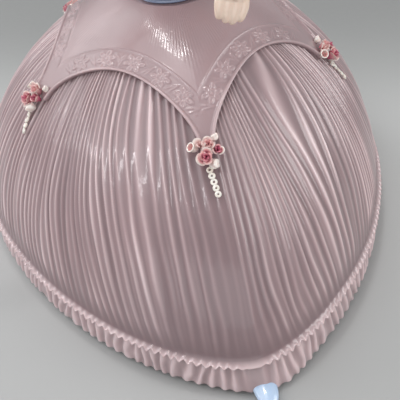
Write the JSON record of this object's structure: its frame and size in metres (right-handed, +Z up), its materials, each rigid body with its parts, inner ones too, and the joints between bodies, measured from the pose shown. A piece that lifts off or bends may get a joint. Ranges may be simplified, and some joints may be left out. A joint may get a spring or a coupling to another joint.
{
  "type": "ballerina jewellery box",
  "caption": "Porcelain curtsying ballerina whose bell skirt turns on a musical movement and lifts off a round wooden jewellery tray.",
  "frame": {"origin": "on the table, on the vertical axis that the dancer turns about", "axes": "+Z up, the dancer faces -Y, +X is to the viewer's right"},
  "size_m": [0.226, 0.2755, 0.238],
  "materials": {
    "mauve_porcelain": "glazed",
    "flesh_porcelain": "glazed",
    "hair_porcelain": "glazed",
    "blue_porcelain": "glazed",
    "rose_porcelain": "glazed",
    "cream_porcelain": "glazed",
    "lacquered_wood": "satin lacquer",
    "velvet": "velvet",
    "felt": "felt",
    "brass": "satin",
    "steel": "brushed",
    "aluminium": "satin"
  },
  "bodies": {
    "base": {"base_plinth": "lacquered_wood", "felt_feet": "felt", "movement_case": "lacquered_wood", "case_cover": "brass", "case_screws": "steel", "jewellery_tray": "lacquered_wood", "pocket_linings": "velvet", "ring_rolls": "velvet", "bedplate": "steel", "comb": "steel", "comb_block": "brass", "cylinder_bracket": "brass", "governor_frame": "brass", "movement_screws": "steel"},
    "barrel": {"spring_barrel": "brass", "mainspring": "steel", "turntable_spindle": "steel", "turntable_disc": "brass", "turntable_felt": "felt", "drive_pins": "brass", "turntable_nut": "steel"},
    "key": {"winding_arbor": "steel", "winding_key": "steel"},
    "cylinder": {"music_cylinder": "brass", "cylinder_pins": "steel", "cylinder_shaft": "steel", "cylinder_pinion": "brass", "cylinder_gear": "brass"},
    "second": {"second_arbor": "steel", "second_pinion": "brass", "second_wheel": "brass"},
    "fly": {"fly_spindle": "steel", "fly_pinion": "brass", "fly_vanes": "aluminium"},
    "dancer": {"underskirt": "mauve_porcelain", "overskirt": "mauve_porcelain", "hem_ruffle": "mauve_porcelain", "roses": "rose_porcelain", "rose_buds": "cream_porcelain", "bead_strings": "cream_porcelain", "figure_post": "aluminium", "sash": "blue_porcelain", "sash_bow": "blue_porcelain", "bodice": "mauve_porcelain", "shoulders": "flesh_porcelain", "left_arm": "flesh_porcelain", "right_arm": "flesh_porcelain", "left_hand": "flesh_porcelain", "right_hand": "flesh_porcelain", "head": "flesh_porcelain", "hair": "hair_porcelain", "hair_bun": "hair_porcelain", "slipper": "blue_porcelain"}
  },
  "joints": [
    {"name": "dancer_spin", "type": "hinge", "parent": "base", "child": "barrel", "pos_m": [0, 0, 0.03], "axis": [0, 0, 1], "continuous": true},
    {"name": "key_wind", "type": "hinge", "parent": "base", "child": "key", "pos_m": [0, 0, 0.01], "axis": [0, 0, 1], "continuous": true},
    {"name": "cylinder_spin", "type": "hinge", "parent": "base", "child": "cylinder", "pos_m": [0.022, 0, 0.0305], "axis": [1, 0, 0], "continuous": true},
    {"name": "second_spin", "type": "hinge", "parent": "base", "child": "second", "pos_m": [0.034, -0.0088, 0.0305], "axis": [1, 0, 0], "continuous": true},
    {"name": "fly_spin", "type": "hinge", "parent": "base", "child": "fly", "pos_m": [0.024, -0.0172, 0.0305], "axis": [1, 0, 0], "continuous": true},
    {"name": "dancer_lift", "type": "slide", "parent": "barrel", "child": "dancer", "axis": [0, 0, 1], "range_m": [0, 0.12]}
  ],
  "couplings": [
    {"joint": "cylinder_spin", "follows": "dancer_spin", "ratio": -2},
    {"joint": "second_spin", "follows": "dancer_spin", "ratio": 5.3333},
    {"joint": "fly_spin", "follows": "dancer_spin", "ratio": -13.333}
  ]
}
